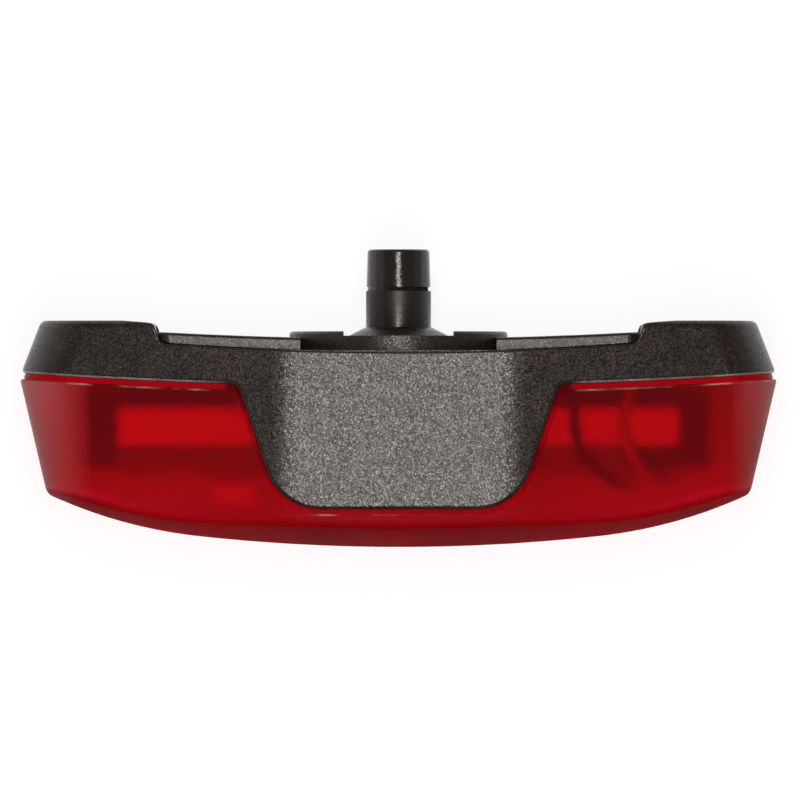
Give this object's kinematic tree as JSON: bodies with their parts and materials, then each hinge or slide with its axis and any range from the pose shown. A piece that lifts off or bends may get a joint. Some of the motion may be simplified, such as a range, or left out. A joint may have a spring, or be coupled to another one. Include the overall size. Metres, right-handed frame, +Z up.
{
  "type": "helmet light",
  "caption": "Wide, low rear light for a bicycle helmet: frosted red lens under a black housing with a central brow, and a battery door with a round peg.",
  "frame": {"origin": "foot of the peg's cylinder, on the peg's axis", "axes": "+X across the light to the right, +Y along the peg to the helmet, +Z up in use; the lens faces -Y"},
  "size_m": [0.0754, 0.0297, 0.0281],
  "materials": {
    "black_shell": "fine moulded grain, warm black",
    "red_lens": "frosted translucent red",
    "seal_rubber": "soft black",
    "black_gloss": "smooth moulded black",
    "cell_steel": "bright nickel",
    "black_inner": "plain black",
    "white_plastic": "plain white",
    "board_white": "pale board",
    "led_white": "clear and white package",
    "can_aluminium": "satin",
    "button_rubber": "soft black",
    "screw_steel": "bright",
    "contact_brass": "bright",
    "wire_black": "soft",
    "wire_red": "soft"
  },
  "bodies": {
    "housing": {"housing": "black_shell", "back_plate": "black_shell", "lens": "red_lens", "lens_gasket": "seal_rubber", "coin_cell": "cell_steel", "inner_carrier": "black_inner", "reflector_bar": "white_plastic", "circuit_board": "board_white", "led_left": "led_white", "led_centre": "led_white", "led_right": "led_white", "controller_chip": "black_inner", "capacitor": "can_aluminium", "resistors": "black_inner", "switch_body": "black_inner", "cover_screws": "screw_steel", "board_screws": "screw_steel", "contact_negative": "contact_brass", "contact_positive": "contact_brass", "wire_black": "wire_black", "wire_red": "wire_red"},
    "door": {"battery_door": "black_gloss", "door_o_ring": "seal_rubber"},
    "button": {"button_cap": "button_rubber", "switch_plunger": "white_plastic"}
  },
  "joints": [
    {"name": "door_turn", "type": "hinge", "parent": "housing", "child": "door", "pos_m": [0, 0, 0], "axis": [0, 1, 0], "range_deg": [0, 50]},
    {"name": "button_press", "type": "slide", "parent": "housing", "child": "button", "axis": [0, 0, 1], "range_m": [0, 0.0005], "stiffness_N_per_m": 1500}
  ]
}
